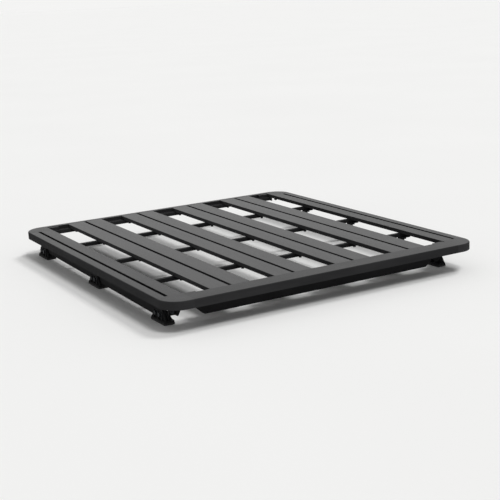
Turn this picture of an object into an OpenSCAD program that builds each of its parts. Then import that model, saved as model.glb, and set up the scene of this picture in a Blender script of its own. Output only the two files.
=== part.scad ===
// Flat platform roof rack: an aluminium perimeter frame with lengthwise planks,
// carried by risers on two mount rails with rubber padded feet.
// Millimetres, +Z up, the front of the rack faces -Y.
// The origin is on the floor plane, below the middle of the platform.

/* [Platform] */
// Width over the side rails
platform_w = 1236; // [1100:2:1400]
// Length from the front rail to the rear rail
platform_l = 1328; // [1200:2:1600]
// Height of the deck above the underside of the feet
deck_z = 108; // [100:1:140]
// Radius of the rounded corners, seen from above
corner_r = 70; // [50:1:72]

/* [Perimeter rails] */
// Height of the rails' outer wall
rim_h = 28; // [24:1:34]
// Width of a side rail's top face
side_rail_w = 92; // [86:1:120]
// Width of the hollow box along a side rail's outer edge
side_box_w = 50; // [46:1:54]
// Width of the front rail's top face
front_rail_w = 72; // [62:1:84]
// Width of the hollow box along the front rail's outer edge
front_box_w = 36; // [30:1:44]
// Width of the rear rail
rear_rail_w = 24; // [18:1:40]
// Wall of the rails and the planks
wall = 2.5; // [2:0.1:3]
// Radius along the rails' outer top edge
edge_r = 4; // [2:0.5:6]
// Reach of the hollow ledge below the plank ends
ledge_reach = 30; // [20:1:40]

/* [Corner castings] */
// Wall of the corner castings
cast_wall = 3.5; // [3:0.5:5]
// Reach of a casting's spigots into the rails
spigot_l = 32; // [20:1:50]
// Clearance between a spigot and the rail around it
spigot_gap = 0.4; // [0.2:0.1:0.8]
// Length of a casting's lug along the end rail
lug_l = 46; // [30:1:70]
// Width of a casting's lug
lug_w = 12; // [8:1:16]
// Gap between a lug and the end rail
lug_gap = 2; // [1:0.5:4]
// Depth of a lug's top below the deck
lug_drop = 1.5; // [0.5:0.5:3]
// Diameter of the screw bosses below a casting
boss_d = 14; // [10:1:18]

/* [Planks] */
// Width of a plank
plank_w = 148; // [120:1:160]
// Depth of a plank
plank_h = 14; // [13:1:18]
// Radius along a plank's top edges
plank_r = 1.5; // [0.5:0.5:2.5]

/* [Accessory slots] */
// Width of a slot's mouth
slot_w = 12; // [10:0.5:14]
// Width inside a slot
slot_inner_w = 20; // [17:0.5:22]
// Thickness of the lips beside a slot's mouth
lip_t = 3; // [2:0.5:3.5]
// Distance from the platform's edge to the side rail's slot
slot_inset = 38; // [36:1:40]

/* [Cross bars] */
// Width of a cross bar
bar_w = 16; // [14:1:26]
// Height of a cross bar
bar_h = 14; // [10:1:16]
// Radius along a cross bar's edges
bar_r = 1.5; // [0.5:0.5:2.5]

/* [Mount rails] */
// Height of the mount rails' top face above the floor
rail_top_z = 48; // [46:1:56]
// Gap between a mount rail and the side rail's box
rail_gap = 4; // [2:1:8]
// Width over a mount rail's web and its ledge
rail_w = 32; // [26:1:40]
// Thickness of a mount rail's web and ledge
rail_t = 4; // [3:0.5:5]
// Front end of the mount rails, measured from the platform's front
rail_front = 140; // [120:1:200]
// Rear end of the mount rails, measured from the platform's rear
rail_rear = 56; // [40:1:120]
// Height of the web's lower edge above the floor at the front
web_front_z = 13; // [13:1:18]
// Height of the web's lower edge above the floor at the rear
web_rear_z = 26; // [18:1:40]
// Thickness of the caps on the mount rails' ends
cap_t = 3; // [2:0.5:5]

/* [Risers] */
// Length of a riser between a mount rail and a cross bar
riser_l = 36; // [28:1:60]
// Thickness of a riser's walls
riser_t = 4; // [3:0.5:6]

/* [Front cross member] */
// Distance from the platform's front to the member's front face
member_set_back = 85; // [80:1:88]
// Depth of the member, front to back
member_d = 24; // [20:1:30]
// Lower edge of the member below the deck
member_drop = 83; // [60:1:86]
// Thickness of the member's walls
member_t = 3; // [2:0.5:4]
// Height of the tab at each of the member's ends
member_end_h = 16; // [12:1:24]
// Length of the tab at each of the member's ends
member_end_l = 35; // [20:1:60]
// Length over which the member's lower edge slopes up to a tab
member_slope_l = 43; // [30:1:70]
// Thickness of the brackets between the member and the mount rails
bracket_t = 4; // [3:0.5:6]
// Length of a bracket's lower edge
bracket_foot = 20; // [14:1:30]
// Reach of a bracket across its mount rail's cap
bracket_leg = 18; // [12:1:20]

/* [Feet] */
// Length of a foot's base, along the rack
foot_l = 100; // [80:1:120]
// Length of a foot's top, along the rack
foot_top_l = 64; // [50:1:76]
// Reach of a foot's base inboard of its upright
foot_reach = 16; // [14:1:24]
// Thickness of a foot's base, upright and cheek
foot_t = 6; // [5:0.5:7]
// Height of a foot's outer cheek above the floor
cheek_z = 46; // [40:1:48]
// Chamfer on the top corners of the cheek and the upright
foot_chamfer = 6; // [4:1:9]
// Number of ribs on a cheek
rib_count = 3; // [2:1:4]
// Thickness of a rib and of a gusset
rib_t = 5; // [4:0.5:6]
// Depth of a rib at the foot's base
rib_d = 5; // [3:0.5:7]
// Height of a rib
rib_h = 26; // [18:1:30]
// Height of a gusset
gusset_h = 22; // [16:1:28]
// Bore for the fixing bolt in a foot
foot_bore = 9; // [7:0.5:10]
// Thickness of the rubber pads
pad_t = 6; // [4:0.5:8]
// Margin of a pad around its foot
pad_margin = 1; // [0.5:0.5:3]
// Radius of the corners of a foot's base and its pad
foot_r = 5; // [2:0.5:6]
// Distance from an outer foot's top to the end of its mount rail
foot_end_gap = 1; // [1:0.5:10]

/* [Hidden] */
half_w = platform_w / 2;
half_l = platform_l / 2;
corner_l = front_rail_w + lug_gap + lug_w;
side_inner_x = half_w - side_rail_w;
box_inner_x = half_w - side_box_w;
plank_front_y = -half_l + front_rail_w;
plank_rear_y = half_l - rear_rail_w;
gap_w = (2 * side_inner_x - 4 * plank_w) / 5;
plank_pitch = plank_w + gap_w;
slot_depth = plank_h - wall;
plank_under_z = deck_z - plank_h;
bar_under_z = plank_under_z - bar_h;
bar_pitch = platform_l / 4;
rail_outer_x = box_inner_x - rail_gap;
rail_inner_x = rail_outer_x - rail_w;
rail_front_y = -half_l + rail_front;
rail_rear_y = half_l - rail_rear;
rail_l = rail_rear_y - rail_front_y;
member_y = -half_l + member_set_back;
member_top_z = deck_z - rim_h;
upright_x = rail_outer_x - rail_t - foot_t;
foot_inner_x = upright_x - foot_reach;
foot_outer_x = rail_outer_x + foot_t + rib_d;
foot_x = foot_inner_x + foot_reach / 2;
foot_base_z = pad_t + foot_t;
foot_top_z = rail_top_z - rail_t;
foot_front_y = rail_front_y + foot_top_l / 2 + foot_end_gap;
foot_rear_y = rail_rear_y - foot_top_l / 2 - foot_end_gap;
foot_ys = [foot_front_y, (foot_front_y + foot_rear_y) / 2, foot_rear_y];
// Share of a rib's depth that is left at its top
rib_top_share = 0.3;
// Depth to which a boss, a lug or a spigot is rooted in its casting
root = 1;
eps = 0.01;
$fn = 48;

// A block drawn downwards from y = 0, with its outer top corner at x = w rounded
module edge_block(w, h, r) {
    translate([0, -h]) square([w, h - r]);
    translate([0, -r]) square([w - r, r]);
    translate([w - r, -r]) circle(r);
}

// A flat block drawn downwards from y = 0, centred, with both top corners rounded
module crowned_block(w, h, r) {
    translate([-w / 2, -h]) square([w, h - r]);
    translate([-w / 2 + r, -r]) square([w - 2 * r, r]);
    for (s = [-1, 1]) translate([s * (w / 2 - r), -r]) circle(r);
}

// The section of an accessory slot: a narrow mouth over a wider channel
module slot_section() {
    translate([-slot_w / 2, -lip_t - eps]) square([slot_w, lip_t + 2 * eps]);
    translate([-slot_inner_w / 2, -slot_depth]) square([slot_inner_w, slot_depth - lip_t]);
}

// A section extruded along Y from y0 to y1, with its own x across and y up
module along_y(y0, y1) {
    translate([0, y1, 0]) rotate([90, 0, 0]) linear_extrude(y1 - y0) children();
}

// A section extruded along X from x0 to x1, with its own x pointing to +Y
module along_x(x0, x1) {
    translate([x0, 0, 0]) rotate([90, 0, 90]) linear_extrude(x1 - x0) children();
}

// The left half is drawn, and the right half is its mirror image
module side(left) {
    if (left) children();
    else mirror([1, 0, 0]) children();
}

// Outline of a side rail: a deep box along its outer edge and a thin flange inside it
module side_rail_outline() {
    translate([0, -plank_h]) square([side_rail_w / 2, plank_h]);
    translate([side_rail_w - side_box_w, 0]) edge_block(side_box_w, rim_h, edge_r);
}

// Section of a side rail, from its inner edge at x = 0 to its outer edge
module side_rail_section() {
    box_x = side_rail_w - side_box_w;
    slot_x = side_rail_w - slot_inset;
    slot_wall_x = slot_x + slot_inner_w / 2 + wall;
    chamber_w = slot_x - slot_inner_w / 2 - 2 * wall;
    difference() {
        side_rail_outline();
        translate([slot_x, 0]) slot_section();
        translate([wall, -plank_h + wall]) square([chamber_w, plank_h - 2 * wall]);
        translate([slot_wall_x, -rim_h + wall])
            square([side_rail_w - slot_wall_x - wall, rim_h - 2 * wall]);
        translate([box_x + wall, -rim_h + wall])
            square([side_box_w - 2 * wall, rim_h - plank_h - wall]);
    }
}

module side_rail() {
    color("#6b6b6b")
        translate([side_inner_x, 0, deck_z])
            along_y(-half_l + corner_l, half_l - corner_l) side_rail_section();
}

// Section of an end rail: a box along its outer edge x = w, a top face as deep as the planks,
// and a hollow ledge below the plank ends
module end_rail_section(w, box_w) {
    inner_w = w - box_w;
    ledge_h = rim_h - plank_h;
    difference() {
        union() {
            translate([inner_w, 0]) edge_block(box_w, rim_h, edge_r);
            translate([0, -plank_h]) square([inner_w + eps, plank_h]);
            translate([-ledge_reach, -rim_h]) square([inner_w + ledge_reach + eps, ledge_h]);
        }
        translate([inner_w + wall, -rim_h + wall]) square([box_w - 2 * wall, rim_h - 2 * wall]);
        translate([-ledge_reach + wall, -rim_h + wall])
            square([inner_w + ledge_reach - wall, ledge_h - 2 * wall]);
        if (inner_w > 2 * wall)
            translate([wall, -plank_h + wall]) square([inner_w - wall, plank_h - 2 * wall]);
    }
}

module front_rail() {
    color("#6b6b6b")
        translate([0, plank_front_y, deck_z]) mirror([0, 1, 0])
            along_x(-side_inner_x, side_inner_x) end_rail_section(front_rail_w, front_box_w);
}

module rear_rail() {
    color("#6b6b6b")
        translate([0, plank_rear_y, deck_z])
            along_x(-side_inner_x, side_inner_x) end_rail_section(rear_rail_w, rear_rail_w);
}

// A corner casting at the left front: a rounded shell, open below, with a spigot in each rail.
// end_w and end_box_w are the widths of the end rail and of its box.
module corner(end_w, end_box_w) {
    centre_x = half_w - corner_r;
    centre_y = -half_l + corner_r;
    color("#666666") translate([0, 0, deck_z]) {
        difference() {
            union() {
                translate([centre_x, centre_y, 0]) rotate([0, 0, -90])
                    rotate_extrude(angle = 90, $fn = 96) edge_block(corner_r, rim_h, edge_r);
                translate([0, centre_y, 0]) mirror([0, 1, 0])
                    along_x(side_inner_x, centre_x) edge_block(corner_r, rim_h, edge_r);
                translate([side_inner_x, 0, 0])
                    along_y(centre_y, -half_l + corner_l) side_rail_outline();
            }
            translate([0, 0, -rim_h - eps]) linear_extrude(rim_h - cast_wall + eps)
                corner_pocket(centre_x, centre_y);
        }
        corner_boss(side_inner_x + cast_wall + boss_d / 2, -half_l + cast_wall + boss_d / 2);
        corner_boss(centre_x, centre_y);
        corner_lug(end_w);
        corner_spigots(end_box_w);
    }
}

// The outline of the hollow underside of a corner casting
module corner_pocket(centre_x, centre_y) {
    inner_x = side_inner_x + cast_wall;
    inner_y = -half_l + corner_l - cast_wall;
    translate([centre_x, centre_y]) intersection() {
        circle(r = corner_r - cast_wall, $fn = 96);
        translate([0, -corner_r]) square(corner_r);
    }
    translate([inner_x, -half_l + cast_wall])
        square([centre_x - inner_x, inner_y + half_l - cast_wall]);
    translate([inner_x, centre_y])
        square([half_w - cast_wall - inner_x, inner_y - centre_y]);
}

// A screw boss that stands down from the top wall of a corner casting
module corner_boss(x, y) {
    translate([x, y, -rim_h + cast_wall]) cylinder(d = boss_d, h = rim_h - 2 * cast_wall + root);
}

// A lug that lies on the end rail's ledge, inside the outermost gap
module corner_lug(end_w) {
    translate([side_inner_x - lug_l, -half_l + end_w + lug_gap, -plank_h])
        cube([lug_l + root, lug_w, plank_h - lug_drop]);
}

// The two spigots, each with a clearance inside its rail's box
module corner_spigots(end_box_w) {
    inset = wall + spigot_gap;
    translate([side_inner_x - spigot_l, -half_l + inset, -rim_h + inset])
        cube([spigot_l + root, end_box_w - 2 * inset, rim_h - 2 * inset]);
    translate([half_w - side_box_w + inset, -half_l + corner_l - root, -rim_h + inset])
        cube([side_box_w - 2 * inset, spigot_l + root, rim_h - plank_h - wall - 2 * spigot_gap]);
}

module plank_section() {
    slot_side = slot_inner_w / 2 + wall;
    chamber_w = (plank_w / 2 - slot_side - 2 * wall) / 2;
    difference() {
        crowned_block(plank_w, plank_h, plank_r);
        slot_section();
        for (s = [-1, 1], n = [0, 1])
            translate([s * (slot_side + chamber_w / 2 + n * (chamber_w + wall)), -plank_h / 2])
                square([chamber_w, plank_h - 2 * wall], center = true);
    }
}

module plank(n) {
    x = -side_inner_x + gap_w + plank_w / 2 + n * plank_pitch;
    color("#737373") translate([x, 0, deck_z]) along_y(plank_front_y, plank_rear_y) plank_section();
}

module cross_bar(n) {
    color("#222222") translate([0, (n - 1) * bar_pitch, plank_under_z])
        along_x(-rail_outer_x, rail_outer_x) crowned_block(bar_w, bar_h, bar_r);
}

// The front cross member: a channel, open behind, whose ends rise to the mount rails
module front_cross_member() {
    color("#1f1f1f") translate([0, member_y, 0]) difference() {
        along_y(0, member_d) member_outline(0);
        along_y(member_t, member_d + eps) member_outline(member_t);
    }
}

// Front view of the cross member, drawn inside its outer edge by a margin
module member_outline(margin) {
    high = member_top_z - margin;
    low = deck_z - member_drop + margin;
    tab_low = member_top_z - member_end_h + margin;
    reach = rail_inner_x - bracket_t;
    slope_x = reach - member_end_l;
    low_x = slope_x - member_slope_l;
    polygon([
        [-reach + margin, high], [-reach + margin, tab_low], [-slope_x, tab_low], [-low_x, low],
        [low_x, low], [slope_x, tab_low], [reach - margin, tab_low], [reach - margin, high]
    ]);
}

// A bracket from the cross member's end down to the cap on a mount rail's front end
module front_bracket() {
    rear_y = rail_front_y - cap_t;
    color("#1f1f1f") translate([rail_inner_x - bracket_t, 0, 0]) {
        rotate([90, 0, 90]) linear_extrude(bracket_t)
            polygon([
                [member_y, member_top_z], [member_y, member_top_z - member_end_h],
                [rear_y - bracket_foot, web_rear_z], [rear_y, web_rear_z], [rear_y, member_top_z]
            ]);
        translate([0, rear_y - bracket_t, web_rear_z])
            cube([bracket_t + bracket_leg, bracket_t, rail_top_z - web_rear_z]);
    }
}

// A mount rail: an upright web whose lower edge slopes
module mount_rail() {
    color("#202020") translate([rail_outer_x - rail_t, 0, 0]) rotate([90, 0, 90])
        linear_extrude(rail_t) polygon([
            [rail_front_y, web_front_z], [rail_rear_y, web_rear_z],
            [rail_rear_y, rail_top_z], [rail_front_y, rail_top_z]
        ]);
}

// The ledge along a mount rail's inner face, which the risers stand on
module rail_ledge() {
    color("#1f1f1f") translate([rail_inner_x, rail_front_y, rail_top_z - rail_t])
        cube([rail_w - rail_t, rail_l, rail_t]);
}

// A cap that closes the end of a mount rail, inboard of the foot
module rail_cap(front) {
    y = front ? rail_front_y - cap_t : rail_rear_y;
    color("#1a1a1a") translate([rail_inner_x, y, web_rear_z])
        cube([upright_x - rail_inner_x, cap_t, rail_top_z - web_rear_z]);
}

// A riser: a channel, open outboard, that carries a cross bar's end on its mount rail
module riser(n) {
    high = bar_under_z - rail_top_z;
    y = (n - 1) * bar_pitch;
    color("#202020") translate([rail_inner_x, 0, rail_top_z])
        along_y(y - riser_l / 2, y + riser_l / 2) difference() {
            square([rail_w, high]);
            translate([riser_t, riser_t]) square([rail_w, high - 2 * riser_t]);
        }
}

// Side view of a foot's upright or cheek, centred: wide at its base, chamfered on top
module cheek_outline(high) {
    top = foot_top_l / 2;
    polygon([
        [-foot_l / 2, pad_t], [foot_l / 2, pad_t], [foot_l / 2, foot_base_z],
        [top, high - foot_chamfer], [top - foot_chamfer, high],
        [-top + foot_chamfer, high], [-top, high - foot_chamfer], [-foot_l / 2, foot_base_z]
    ]);
}

// A plate cut to the side view of the foot, from x0 towards the outside
module cheek(x0, high) {
    translate([x0, 0, 0]) rotate([90, 0, 90]) linear_extrude(foot_t) cheek_outline(high);
}

// A wedge that stands on the foot's base against an upright face at x = 0
module wedge(reach, high) {
    translate([0, rib_t / 2, foot_base_z - eps]) rotate([90, 0, 0]) linear_extrude(rib_t)
        polygon([[-eps, 0], [reach, 0], [reach * rib_top_share, high], [-eps, high]]);
}

// The plan of a foot's base, grown by a margin, with rounded corners
module base_plan(margin) {
    w = foot_outer_x - foot_inner_x + 2 * margin;
    l = foot_l + 2 * margin;
    translate([foot_inner_x - margin, -l / 2]) {
        translate([foot_r, 0]) square([w - 2 * foot_r, l]);
        translate([0, foot_r]) square([w, l - 2 * foot_r]);
        for (x = [foot_r, w - foot_r], y = [foot_r, l - foot_r])
            translate([x, y]) circle(foot_r);
    }
}

// A foot: a base, an upright and a ribbed cheek that hold the mount rail's web between them
module foot(y) {
    rib_pitch = (foot_top_l - rib_t) / (rib_count - 1);
    color("#242424") translate([0, y, 0]) difference() {
        union() {
            translate([0, 0, pad_t]) linear_extrude(foot_t) base_plan(0);
            cheek(upright_x, foot_top_z);
            cheek(rail_outer_x, cheek_z);
            for (n = [0 : rib_count - 1])
                translate([rail_outer_x + foot_t, (n - (rib_count - 1) / 2) * rib_pitch, 0])
                    wedge(rib_d, rib_h);
            for (s = [-1, 1])
                translate([upright_x, s * (foot_top_l - rib_t) / 2, 0]) mirror([1, 0, 0])
                    wedge(foot_reach, gusset_h);
        }
        translate([foot_x, 0, -eps]) cylinder(d = foot_bore, h = foot_base_z + 2 * eps);
    }
}

// The rubber pad below a foot
module pad(y) {
    color("#141414") translate([0, y, 0]) linear_extrude(pad_t) difference() {
        base_plan(pad_margin);
        translate([foot_x, 0]) circle(d = foot_bore);
    }
}

front_rail();
rear_rail();
side(true) side_rail();  // side_rail_left
side(false) side_rail();  // side_rail_right
side(true) corner(front_rail_w, front_box_w);  // corner_front_left
side(false) corner(front_rail_w, front_box_w);  // corner_front_right
side(true) mirror([0, 1, 0]) corner(rear_rail_w, rear_rail_w);  // corner_rear_left
side(false) mirror([0, 1, 0]) corner(rear_rail_w, rear_rail_w);  // corner_rear_right
plank(0);  // plank_1
plank(1);  // plank_2
plank(2);  // plank_3
plank(3);  // plank_4
cross_bar(0);  // cross_bar_front
cross_bar(1);  // cross_bar_middle
cross_bar(2);  // cross_bar_rear
front_cross_member();
side(true) front_bracket();  // front_bracket_left
side(false) front_bracket();  // front_bracket_right
side(true) mount_rail();  // mount_rail_left
side(false) mount_rail();  // mount_rail_right
side(true) rail_ledge();  // rail_ledge_left
side(false) rail_ledge();  // rail_ledge_right
side(true) rail_cap(true);  // rail_cap_front_left
side(false) rail_cap(true);  // rail_cap_front_right
side(true) rail_cap(false);  // rail_cap_rear_left
side(false) rail_cap(false);  // rail_cap_rear_right
side(true) riser(0);  // riser_front_left
side(false) riser(0);  // riser_front_right
side(true) riser(1);  // riser_middle_left
side(false) riser(1);  // riser_middle_right
side(true) riser(2);  // riser_rear_left
side(false) riser(2);  // riser_rear_right
side(true) foot(foot_ys[0]);  // foot_front_left
side(false) foot(foot_ys[0]);  // foot_front_right
side(true) foot(foot_ys[1]);  // foot_middle_left
side(false) foot(foot_ys[1]);  // foot_middle_right
side(true) foot(foot_ys[2]);  // foot_rear_left
side(false) foot(foot_ys[2]);  // foot_rear_right
side(true) pad(foot_ys[0]);  // pad_front_left
side(false) pad(foot_ys[0]);  // pad_front_right
side(true) pad(foot_ys[1]);  // pad_middle_left
side(false) pad(foot_ys[1]);  // pad_middle_right
side(true) pad(foot_ys[2]);  // pad_rear_left
side(false) pad(foot_ys[2]);  // pad_rear_right
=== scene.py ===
"""Flat platform roof rack: finishes, fasteners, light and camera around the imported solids."""
import math

import bmesh
import bpy
from mathutils import Matrix, Vector


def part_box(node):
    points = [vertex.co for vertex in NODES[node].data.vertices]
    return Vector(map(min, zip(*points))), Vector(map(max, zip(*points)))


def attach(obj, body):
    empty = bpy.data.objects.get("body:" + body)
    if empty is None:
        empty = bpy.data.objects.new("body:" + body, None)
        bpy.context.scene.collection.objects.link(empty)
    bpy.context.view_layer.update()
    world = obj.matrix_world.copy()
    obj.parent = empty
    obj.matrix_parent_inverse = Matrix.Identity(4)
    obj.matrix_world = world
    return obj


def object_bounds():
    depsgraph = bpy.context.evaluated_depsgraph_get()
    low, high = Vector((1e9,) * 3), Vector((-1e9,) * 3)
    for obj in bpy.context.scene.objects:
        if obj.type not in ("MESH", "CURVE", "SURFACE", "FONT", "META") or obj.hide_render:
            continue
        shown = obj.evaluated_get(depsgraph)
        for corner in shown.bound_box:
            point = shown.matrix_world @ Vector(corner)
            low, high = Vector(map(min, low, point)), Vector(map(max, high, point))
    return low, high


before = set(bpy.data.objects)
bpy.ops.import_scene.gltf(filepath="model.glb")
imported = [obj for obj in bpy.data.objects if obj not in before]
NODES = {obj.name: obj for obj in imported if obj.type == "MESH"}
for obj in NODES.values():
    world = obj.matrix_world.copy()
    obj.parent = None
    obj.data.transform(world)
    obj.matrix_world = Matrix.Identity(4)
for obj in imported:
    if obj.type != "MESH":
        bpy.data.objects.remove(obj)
cad_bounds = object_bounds()

MM = 0.001
CORNERS = [f"corner_{end}_{side}" for end in ("front", "rear") for side in ("left", "right")]
SIDE_RAILS = ["side_rail_left", "side_rail_right"]
END_RAILS = ["front_rail", "rear_rail"]
PLANKS = ["plank_1", "plank_2", "plank_3", "plank_4"]
CROSS_BARS = ["cross_bar_front", "cross_bar_middle", "cross_bar_rear"]
BRACKETS = ["front_bracket_left", "front_bracket_right"]
MOUNT_RAILS = ["mount_rail_left", "mount_rail_right", "rail_ledge_left", "rail_ledge_right"]
ENDS = ("front", "middle", "rear")
RISERS = [f"riser_{end}_{side}" for end in ENDS for side in ("left", "right")]
FEET = [f"foot_{end}_{side}" for end in ENDS for side in ("left", "right")]
PADS = [f"pad_{end}_{side}" for end in ENDS for side in ("left", "right")]
CAPS = [f"rail_cap_{end}_{side}" for end in ("front", "rear") for side in ("left", "right")]


# Materials

def linear(hex_colour):
    """An sRGB hex colour as a linear RGBA value."""
    parts = [int(hex_colour[i:i + 2], 16) / 255 for i in (1, 3, 5)]
    curve = [c / 12.92 if c <= 0.04045 else ((c + 0.055) / 1.055) ** 2.4 for c in parts]
    return (*curve, 1.0)


def add(tree, kind, settings=(), values=(), links=()):
    """A node of this kind, with its settings, its input values and its input links."""
    node = tree.nodes.new(kind)
    for name, value in dict(settings).items():
        setattr(node, name, value)
    for socket, value in dict(values).items():
        node.inputs[socket].default_value = value
    for socket, source in dict(links).items():
        tree.links.new(source, node.inputs[socket])
    return node


def scale_for(size):
    """The pattern scale whose features are this many millimetres across."""
    return 1 / (size * MM)


def new_material(name):
    """An empty node material, and its tree."""
    material = bpy.data.materials.new(name)
    material.use_nodes = True
    tree = material.node_tree
    tree.nodes.clear()
    return material, tree


def powder_coat(name, dark, light, grain, bump, rough, shine, stretch=(1, 1, 1)):
    """Textured powder coat, sprayed and cured, with an orange peel and a fleck of this grain.

    grain is in millimetres. rough is the roughness of upright faces and of top faces; the
    smoother tops are a painted sheen, standing in for the light on them. stretch pulls the broad
    tone changes along an extrusion.
    """
    spray_pass, cloud, peel_depth = 110, 9, 0.2
    peel_tone, gloss_spread, fleck_share, fleck_relief, cloud_relief = 0.45, 0.12, 0.6, 0.5, 1.3
    upright, flat = 0.6, 0.97
    material, tree = new_material(name)
    place = add(tree, "ShaderNodeTexCoord")
    along = add(tree, "ShaderNodeMapping", values={"Scale": stretch},
                links={"Vector": place.outputs["Object"]})
    broad = add(tree, "ShaderNodeTexNoise",
                values={"Scale": scale_for(spray_pass), "Detail": 3.0, "Roughness": 0.55},
                links={"Vector": along.outputs["Vector"]})
    mottle = add(tree, "ShaderNodeTexNoise",
                 values={"Scale": scale_for(cloud), "Detail": 3.0, "Roughness": 0.6},
                 links={"Vector": place.outputs["Object"]})
    peel = add(tree, "ShaderNodeTexNoise",
               values={"Scale": scale_for(grain), "Detail": 2.0, "Roughness": 0.6},
               links={"Vector": place.outputs["Object"]})
    fleck = add(tree, "ShaderNodeTexVoronoi",
                values={"Scale": scale_for(grain / fleck_share), "Randomness": 1.0},
                links={"Vector": place.outputs["Object"]})
    mixed = add(tree, "ShaderNodeMath", {"operation": "MULTIPLY_ADD"}, {1: peel_tone},
                {0: peel.outputs["Fac"], 2: broad.outputs["Fac"]})
    tone = add(tree, "ShaderNodeMapRange",
               values={"From Min": 0.5, "From Max": 0.95, "To Min": 0.0, "To Max": 1.0},
               links={"Value": mixed.outputs["Value"]})
    colour = add(tree, "ShaderNodeMix", {"data_type": "RGBA"},
                 {"A": linear(dark), "B": linear(light)}, {"Factor": tone.outputs["Result"]})
    # Painted sheen: faces that point up get a lower roughness than upright faces, so the tops shine
    # grey and the sides stay black.
    facing = add(tree, "ShaderNodeSeparateXYZ", links={"Vector": place.outputs["Normal"]})
    painted_sheen_roughness = add(tree, "ShaderNodeMapRange",
                values={"From Min": upright, "From Max": flat,
                        "To Min": rough[0], "To Max": rough[1]},
                links={"Value": facing.outputs["Z"]})
    patchy = add(tree, "ShaderNodeMath", {"operation": "ADD"},
                 links={0: mottle.outputs["Fac"], 1: peel.outputs["Fac"]})
    gloss = add(tree, "ShaderNodeMath", {"operation": "MULTIPLY_ADD", "use_clamp": True},
                {1: gloss_spread}, {0: patchy.outputs["Value"], 2: painted_sheen_roughness.outputs["Result"]})
    fine = add(tree, "ShaderNodeMath", {"operation": "MULTIPLY_ADD"}, {1: fleck_relief},
               {0: fleck.outputs["Distance"], 2: peel.outputs["Fac"]})
    height = add(tree, "ShaderNodeMath", {"operation": "MULTIPLY_ADD"}, {1: cloud_relief},
                 {0: mottle.outputs["Fac"], 2: fine.outputs["Value"]})
    relief = add(tree, "ShaderNodeBump", values={"Strength": bump, "Distance": peel_depth * MM},
                 links={"Height": height.outputs["Value"]})
    shader = add(tree, "ShaderNodeBsdfPrincipled", values={"IOR": 1.5, "Specular IOR Level": shine},
                 links={"Base Color": colour.outputs["Result"], "Roughness": gloss.outputs["Value"],
                        "Normal": relief.outputs["Normal"]})
    add(tree, "ShaderNodeOutputMaterial", links={"Surface": shader.outputs["BSDF"]})
    return material


def plated_steel(name, dark, light, cloud):
    """Zinc plated and black passivated steel: faint clouds of tone and gloss, in millimetres."""
    bright, dull = 0.32, 0.5
    material, tree = new_material(name)
    place = add(tree, "ShaderNodeTexCoord")
    bloom = add(tree, "ShaderNodeTexNoise", values={"Scale": scale_for(cloud), "Detail": 3.0},
                links={"Vector": place.outputs["Object"]})
    colour = add(tree, "ShaderNodeMix", {"data_type": "RGBA"},
                 {"A": linear(dark), "B": linear(light)}, {"Factor": bloom.outputs["Fac"]})
    gloss = add(tree, "ShaderNodeMapRange", values={"To Min": bright, "To Max": dull},
                links={"Value": bloom.outputs["Fac"]})
    shader = add(tree, "ShaderNodeBsdfPrincipled", values={"Metallic": 0.85},
                 links={"Base Color": colour.outputs["Result"],
                        "Roughness": gloss.outputs["Result"]})
    add(tree, "ShaderNodeOutputMaterial", links={"Surface": shader.outputs["BSDF"]})
    return material


def moulded(name, dark, light, rough, grain, bloom):
    """Moulded polymer or rubber: the tool's grain, and a soft bloom, both in millimetres."""
    grain_depth, spread = 0.1, 0.06
    material, tree = new_material(name)
    place = add(tree, "ShaderNodeTexCoord")
    spark = add(tree, "ShaderNodeTexNoise", values={"Scale": scale_for(grain), "Detail": 2.0},
                links={"Vector": place.outputs["Object"]})
    broad = add(tree, "ShaderNodeTexNoise", values={"Scale": scale_for(bloom), "Detail": 2.0},
                links={"Vector": place.outputs["Object"]})
    colour = add(tree, "ShaderNodeMix", {"data_type": "RGBA"},
                 {"A": linear(dark), "B": linear(light)}, {"Factor": broad.outputs["Fac"]})
    gloss = add(tree, "ShaderNodeMapRange",
                values={"To Min": rough - spread, "To Max": rough + spread},
                links={"Value": spark.outputs["Fac"]})
    relief = add(tree, "ShaderNodeBump", values={"Strength": 0.35, "Distance": grain_depth * MM},
                 links={"Height": spark.outputs["Fac"]})
    shader = add(tree, "ShaderNodeBsdfPrincipled", values={"IOR": 1.5},
                 links={"Base Color": colour.outputs["Result"],
                        "Roughness": gloss.outputs["Result"], "Normal": relief.outputs["Normal"]})
    add(tree, "ShaderNodeOutputMaterial", links={"Surface": shader.outputs["BSDF"]})
    return material


# Textured black powder coat on extruded aluminium: matt black upright, with a soft grey sheen
# along the tops, a painted sheen for the light on them. The real peel is about 0.6 mm, too fine to
# show, so it's drawn at 1.6 mm.
rail_coat = powder_coat("textured_powder_coat_rail", "#242425", "#313132", 1.6, 0.5,
                        (0.88, 0.2), 0.12, stretch=(2.0, 0.35, 2.0))
# The end rails' copy of the coat has less shine and a darker tone: painted shade on the front
# rail's top.
shaded_end_rail_coat = powder_coat("textured_powder_coat_end_rail", "#232324", "#303031", 1.6, 0.5,
                       (0.88, 0.2), 0.084, stretch=(0.35, 2.0, 2.0))
# The planks' copy of the coat has more shine and a lighter tone: painted light on the plank tops.
lit_plank_coat = powder_coat("textured_powder_coat_plank", "#2a2a2b", "#373738", 1.6, 0.5,
                         (0.88, 0.2), 0.15, stretch=(2.0, 0.35, 2.0))
# The same coat over a sand casting, whose skin makes it look softer and more pebbled; the real
# pebble is about 1 mm and is drawn at 2.2 mm
cast_coat = powder_coat("textured_powder_coat_casting", "#272728", "#343435", 2.2, 0.7,
                        (0.88, 0.22), 0.108)
# Satin powder coat on the aluminium frame below the deck: a deeper, smoother black with a wide
# dull highlight; its real peel of about 0.5 mm is drawn at 1.2 mm
under_coat = powder_coat("satin_powder_coat_frame", "#1c1c1d", "#242425", 1.2, 0.35,
                         (0.6, 0.3), 0.06)
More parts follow.
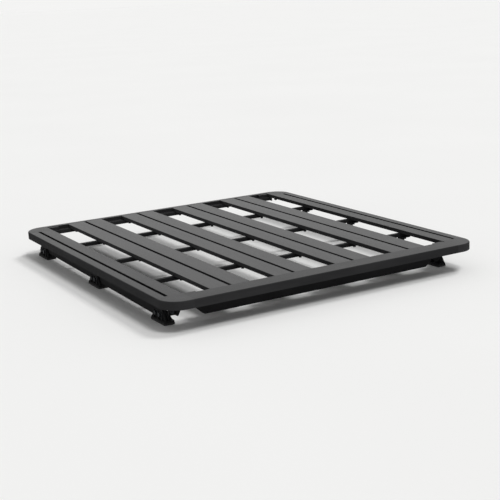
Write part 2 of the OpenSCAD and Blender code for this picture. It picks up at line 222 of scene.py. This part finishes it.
# Injection moulded nylon with glass fibre: an even dull black with a little fibre bloom; the
# tool's spark grain of about 0.1 mm is drawn at 0.7 mm
nylon = moulded("glass_filled_nylon_cap", "#121213", "#1a1a1b", 0.55, 0.7, 33)
# Compression moulded EPDM rubber: dead matt, greyed by dust in its grain; that grain is about
# 0.3 mm and is drawn at 1.1 mm
rubber = moulded("epdm_rubber_pad", "#0f0f10", "#181818", 0.8, 1.1, 33)
# Zinc plated steel with a black passivate: small dark heads that still glint like metal, with
# clouds of about 2.4 mm where the passivate took unevenly
fastener = plated_steel("black_zinc_steel", "#2b2d30", "#44464a", 2.4)


def finish_nodes(names, material):
    """These CAD nodes get this material and no other."""
    for name in names:
        slots = NODES[name].data.materials
        slots.clear()
        slots.append(material)


finish_nodes(SIDE_RAILS, rail_coat)
finish_nodes(END_RAILS, shaded_end_rail_coat)
finish_nodes(PLANKS, lit_plank_coat)
finish_nodes(CORNERS, cast_coat)
finish_nodes(CROSS_BARS + ["front_cross_member"] + BRACKETS, under_coat)
finish_nodes(MOUNT_RAILS + RISERS + FEET, under_coat)
finish_nodes(CAPS, nylon)
finish_nodes(PADS, rubber)


# Fasteners

M6 = {"across": 10, "head": 6.0, "flange": 14.0}
M8 = {"across": 13, "head": 7.9, "flange": 17.5}


def axis_place(seat, axis):
    """A placing at seat that turns +Z to this axis."""
    turn = Vector((0, 0, 1)).rotation_difference(Vector(axis))
    return Matrix.Translation(seat) @ turn.to_matrix().to_4x4()


def disc(mesh, place, low, high, radius, top_radius=None, sides=28):
    """A round or hexagonal disc between two heights of a placing, in millimetres.

    Gives its faces.
    """
    made = bmesh.ops.create_cone(
        mesh, cap_ends=True, segments=sides, radius1=radius * MM,
        radius2=(radius if top_radius is None else top_radius) * MM, depth=(high - low) * MM,
        matrix=place @ Matrix.Translation((0, 0, (low + high) / 2 * MM)))
    return {face for vert in made["verts"] for face in vert.link_faces}


def end_face(faces, place, top=True):
    """The face of a disc that lies furthest along its placing, or least far."""
    back = place.inverted()
    return (max if top else min)(faces, key=lambda face: (back @ face.calc_center_median()).z)


def soften(mesh, edges, width, steps=2):
    """Rounds these edges over, by a width in millimetres."""
    bmesh.ops.bevel(mesh, geom=list(edges), offset=width * MM, segments=steps, profile=0.5,
                    affect="EDGES", material=-1)


def sink(mesh, face, margin, depth, slope=0.2):
    """Sinks a recess into a face, inside a margin; sizes in millimetres."""
    bmesh.ops.inset_region(mesh, faces=[face], thickness=margin * MM)
    bmesh.ops.inset_region(mesh, faces=[face], thickness=slope * MM, depth=-depth * MM)


def flanged_bolt(mesh, seat, axis, size):
    """A flanged hexagon bolt head on its seat, with a dished top."""
    rim_share, rim_slope, sunk, dish_share, dish_depth = 0.22, 0.9, 0.8, 0.2, 0.6
    place = axis_place(seat, axis)
    rim = size["head"] * rim_share
    disc(mesh, place, 0, rim, size["flange"] / 2, size["flange"] / 2 - rim_slope)
    corner = size["across"] / math.sqrt(3)
    top = end_face(disc(mesh, place, rim * sunk, size["head"], corner, sides=6), place)
    sink(mesh, top, size["across"] * dish_share, dish_depth)


def nut_and_stub(mesh, seat, axis, size, stub=3.0):
    """A hexagon nut on a washer, with the end of its bolt standing out."""
    nut_share, thread_share, washer, nut_low, nut_r, thread_r = 0.6, 0.3, 1.6, 1.4, 0.8, 0.7
    place = axis_place(seat, axis)
    high = size["across"] * nut_share
    disc(mesh, place, 0, washer, size["flange"] / 2)
    faces = disc(mesh, place, nut_low, nut_low + high, size["across"] / math.sqrt(3), sides=6)
    soften(mesh, end_face(faces, place).edges, nut_r)
    thread = disc(mesh, place, high, high + stub + nut_low, size["across"] * thread_share, sides=20)
    soften(mesh, end_face(thread, place).edges, thread_r, 1)


def button_screw(mesh, seat, axis, width=10.5, high=3.2):
    """A low button head screw with a round-bottomed socket."""
    slope, rim_share, socket_share = 1.9, 0.14, 0.5
    place = axis_place(seat, axis)
    top = end_face(disc(mesh, place, 0, high, width / 2, width / 2 - slope, sides=24), place)
    sink(mesh, top, width * rim_share, high * socket_share)


def finished_piece(name, mesh, material):
    """Makes an object of this bmesh, with its finish, riding on the rack."""
    sharp = 35
    data = bpy.data.meshes.new(name)
    bmesh.ops.recalc_face_normals(mesh, faces=mesh.faces)
    mesh.to_mesh(data)
    mesh.free()
    data.materials.append(material)
    piece = bpy.data.objects.new(name, data)
    bpy.context.scene.collection.objects.link(piece)
    data.shade_smooth()
    data.set_sharp_from_angle(angle=math.radians(sharp))
    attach(piece, "root")


def centre(name):
    """The middle of a node's box."""
    low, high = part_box(name)
    return (low + high) / 2


def outward(name):
    """+1 on the rack's left half and -1 on its right half."""
    return 1 if centre(name).x > 0 else -1


def plank_bolt_places():
    """Where the bolts into the planks stand across the rack: two to a plank."""
    off_middle = 45 * MM
    return [centre(plank).x + side * off_middle for plank in PLANKS for side in (-1, 1)]


def cross_bar_bolts():
    """Two bolts up through each cross bar into each plank."""
    mesh = bmesh.new()
    for bar in CROSS_BARS:
        for x in plank_bolt_places():
            flanged_bolt(mesh, (x, centre(bar).y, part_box(bar)[0].z), (0, 0, -1), M6)
    finished_piece("cross_bar_bolts", mesh, fastener)


def plank_end_bolts():
    """Two bolts up into each plank's ends, through the cross member and the rear rail's ledge."""
    wall, ledge_middle = 3 * MM, 15 * MM
    mesh = bmesh.new()
    member_middle, member_high = centre("front_cross_member"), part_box("front_cross_member")[1]
    rear_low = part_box("rear_rail")[0]
    for x in plank_bolt_places():
        flanged_bolt(mesh, (x, member_middle.y, member_high.z - wall), (0, 0, -1), M6)
        flanged_bolt(mesh, (x, rear_low.y + ledge_middle, rear_low.z), (0, 0, -1), M6)
    finished_piece("plank_end_bolts", mesh, fastener)


def riser_bolts():
    """A bolt up through each riser into its cross bar, and two down into the mount rail."""
    wall, flange_t, off_web, half_pitch = 4 * MM, 4 * MM, 13 * MM, 9.5 * MM
    mesh = bmesh.new()
    for riser in RISERS:
        side = outward(riser)
        low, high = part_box(riser)
        inner, outer = sorted((low.x, high.x), key=abs)
        y = centre(riser).y
        flanged_bolt(mesh, ((inner + outer + side * wall) / 2, y, high.z - wall), (0, 0, -1), M8)
        for step in (-half_pitch, half_pitch):
            x = inner + side * off_web
            flanged_bolt(mesh, (x, y + step, low.z + wall), (0, 0, 1), M6)
            nut_and_stub(mesh, (x, y + step, low.z - flange_t), (0, 0, -1), M6)
    finished_piece("riser_bolts", mesh, fastener)


def foot_bolts():
    """Two bolts through each foot's cheek, the rail's web and the foot's upright, with nuts."""
    rib_depth, base_reach, half_pitch, height = 5 * MM, 16 * MM, 14.75 * MM, 29 * MM
    mesh = bmesh.new()
    for foot in FEET:
        side = outward(foot)
        low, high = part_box(foot)
        inner, outer = sorted((low.x, high.x), key=abs)
        for step in (-half_pitch, half_pitch):
            y = centre(foot).y + step
            flanged_bolt(mesh, (outer - side * rib_depth, y, height), (side, 0, 0), M8)
            nut_and_stub(mesh, (inner + side * base_reach, y, height), (-side, 0, 0), M8)
    finished_piece("foot_bolts", mesh, fastener)


def bracket_bolts():
    """One bolt through each bracket into the cross member, and one into its mount rail's cap."""
    plate, below_top = 4 * MM, 8 * MM
    member_y = centre("front_cross_member").y
    mesh = bmesh.new()
    for bracket in BRACKETS:
        side = outward(bracket)
        low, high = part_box(bracket)
        inner, outer = sorted((low.x, high.x), key=abs)
        flanged_bolt(mesh, (inner + side * plate, member_y, high.z - below_top), (side, 0, 0), M6)
        cap = bracket.replace("front_bracket", "rail_cap_front")
        flanged_bolt(mesh, ((inner + side * plate + outer) / 2, high.y - plate, centre(cap).z),
                     (0, -1, 0), M6)
    finished_piece("bracket_bolts", mesh, fastener)


def corner_screws():
    """Screws up into each corner casting's bosses, and through the rails into its spigots."""
    cast_wall, boss_r, corner_r = 3.5 * MM, 7 * MM, 70 * MM
    spigot_middle, half_pitch = 16 * MM, 8 * MM
    box_middle = {"front": 18 * MM, "rear": 12 * MM, "side": 25 * MM}
    deck_high = cad_bounds[1]
    mesh = bmesh.new()
    for end, y_way in (("front", -1), ("rear", 1)):
        rail_low, rail_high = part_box(f"{end}_rail")
        for x_way, side_rail in ((1, "side_rail_left"), (-1, "side_rail_right")):
            inner_x = x_way * rail_high.x
            outer_x, outer_y = x_way * deck_high.x, y_way * deck_high.y
            inset = cast_wall + boss_r
            for x, y in ((inner_x + x_way * inset, outer_y - y_way * inset),
                         (outer_x - x_way * corner_r, outer_y - y_way * corner_r)):
                button_screw(mesh, (x, y, rail_low.z + cast_wall), (0, 0, -1))
            side_end_y = y_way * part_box(side_rail)[1].y
            for step in (-half_pitch, half_pitch):
                button_screw(mesh, (outer_x - x_way * box_middle["side"] + step,
                                    side_end_y - y_way * spigot_middle, rail_low.z), (0, 0, -1))
                button_screw(mesh, (inner_x - x_way * spigot_middle + step,
                                    outer_y - y_way * box_middle[end], rail_low.z), (0, 0, -1))
    finished_piece("corner_screws", mesh, fastener)


def cap_screws():
    """Two small screws in the cap on each mount rail's rear end."""
    half_pitch, width, high = 5 * MM, 7, 2.2
    mesh = bmesh.new()
    for side in ("left", "right"):
        cap = f"rail_cap_rear_{side}"
        for step in (-half_pitch, half_pitch):
            seat = (centre(cap).x + step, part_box(cap)[1].y, centre(cap).z)
            button_screw(mesh, seat, (0, 1, 0), width, high)
    finished_piece("cap_screws", mesh, fastener)


def ledge_plugs():
    """Moulded plugs in the open ends of the ledges below the plank ends."""
    reach, high, thick = 30 * MM, 14 * MM, 1.5 * MM
    margin, depth, slope, rim_r = 2.5, 0.5, 0.4, 0.6
    mesh = bmesh.new()
    for rail in END_RAILS:
        low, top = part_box(rail)
        y = top.y - reach / 2 if rail == "front_rail" else low.y + reach / 2
        for way in (-1, 1):
            place = Matrix.Translation((way * (top.x + thick / 2), y, low.z + high / 2))
            box = Matrix.Diagonal((thick, reach, high, 1))
            made = bmesh.ops.create_cube(mesh, size=1, matrix=place @ box)
            faces = {face for vert in made["verts"] for face in vert.link_faces}
            outer = max(faces, key=lambda face: way * face.calc_center_median().x)
            rim = list(outer.edges)
            sink(mesh, outer, margin, depth, slope)
            soften(mesh, rim, rim_r)
    finished_piece("ledge_plugs", mesh, nylon)


cross_bar_bolts()
plank_end_bolts()
riser_bolts()
foot_bolts()
bracket_bolts()
corner_screws()
cap_screws()
ledge_plugs()


# Floor, light and camera

def studio_floor():
    """A wide floor of pale studio paper, dead matt, with a faint unevenness of tone."""
    cloud_size = 1250
    mesh = bmesh.new()
    bmesh.ops.create_grid(mesh, x_segments=1, y_segments=1, size=80)
    data = bpy.data.meshes.new("studio_floor")
    mesh.to_mesh(data)
    mesh.free()
    material, tree = new_material("pale_studio_paper")
    place = add(tree, "ShaderNodeTexCoord")
    cloud = add(tree, "ShaderNodeTexNoise", values={"Scale": scale_for(cloud_size), "Detail": 2.0},
                links={"Vector": place.outputs["Object"]})
    colour = add(tree, "ShaderNodeMix", {"data_type": "RGBA"},
                 {"A": linear("#f0f0ef"), "B": linear("#f4f4f3")}, {"Factor": cloud.outputs["Fac"]})
    shader = add(tree, "ShaderNodeBsdfPrincipled", values={"Roughness": 0.9},
                 links={"Base Color": colour.outputs["Result"]})
    add(tree, "ShaderNodeOutputMaterial", links={"Surface": shader.outputs["BSDF"]})
    data.materials.append(material)
    floor = bpy.data.objects.new("studio_floor", data)
    bpy.context.scene.collection.objects.link(floor)


def studio_world():
    """Soft light from all round; the camera and the gloss see the floor's pale tone behind."""
    world = bpy.data.worlds.new("studio_world")
    bpy.context.scene.world = world
    world.use_nodes = True
    tree = world.node_tree
    tree.nodes.clear()
    ray = add(tree, "ShaderNodeLightPath")
    seen = add(tree, "ShaderNodeMath", {"operation": "MAXIMUM"},
               links={0: ray.outputs["Is Camera Ray"], 1: ray.outputs["Is Glossy Ray"]})
    shown = add(tree, "ShaderNodeMath", {"operation": "MAXIMUM"},
                links={0: seen.outputs["Value"], 1: ray.outputs["Is Transmission Ray"]})
    soft = add(tree, "ShaderNodeBackground", values={"Color": (1, 1, 1, 1), "Strength": 0.4})
    pale = add(tree, "ShaderNodeBackground", values={"Color": linear("#f4f4f3"), "Strength": 1.0})
    both = add(tree, "ShaderNodeMixShader",
               links={0: shown.outputs["Value"], 1: soft.outputs["Background"],
                      2: pale.outputs["Background"]})
    add(tree, "ShaderNodeOutputWorld", links={"Surface": both.outputs["Shader"]})


def sun(name, strength, softness, height, bearing):
    """A soft sun: softness is its width, height and bearing its place in the sky, in degrees."""
    data = bpy.data.lights.new(name, "SUN")
    data.energy = strength
    data.angle = math.radians(softness)
    lamp = bpy.data.objects.new(name, data)
    bpy.context.scene.collection.objects.link(lamp)
    lamp.rotation_euler = (math.radians(90 - height), 0, math.radians(bearing))


def photo_camera():
    """The photograph's viewing angle: bearing, height and roll, in degrees, as fitted to it."""
    bearing, height, roll = math.radians(-29.95), math.radians(13.93), math.radians(-2.54)
    focal_px, zoom, frame_px, sensor, furthest = 499.9, 2.1, 500, 36, 300
    place = Vector((-1.908, -3.414, 0.909 + cad_bounds[1].z))
    back = Vector((math.sin(bearing) * math.cos(height), -math.cos(bearing) * math.cos(height),
                   math.sin(height)))
    right = Vector((0, 0, 1)).cross(back).normalized()
    up = back.cross(right)
    right, up = (right * math.cos(roll) + up * math.sin(roll),
                 up * math.cos(roll) - right * math.sin(roll))
    data = bpy.data.cameras.new("photo_camera")
    data.sensor_width = sensor
    data.lens = focal_px * zoom / frame_px * sensor
    data.clip_end = furthest
    camera = bpy.data.objects.new("photo_camera", data)
    bpy.context.scene.collection.objects.link(camera)
    turn = Matrix((right, up, back)).transposed().to_4x4()
    camera.matrix_world = Matrix.Translation(place) @ turn
    bpy.context.scene.camera = camera


studio_floor()
studio_world()
sun("key_sun", 1.2, 16, 62, 12)
sun("side_sun", 0.9, 16, 60, 80)
photo_camera()
bpy.context.scene.view_settings.view_transform = "Standard"
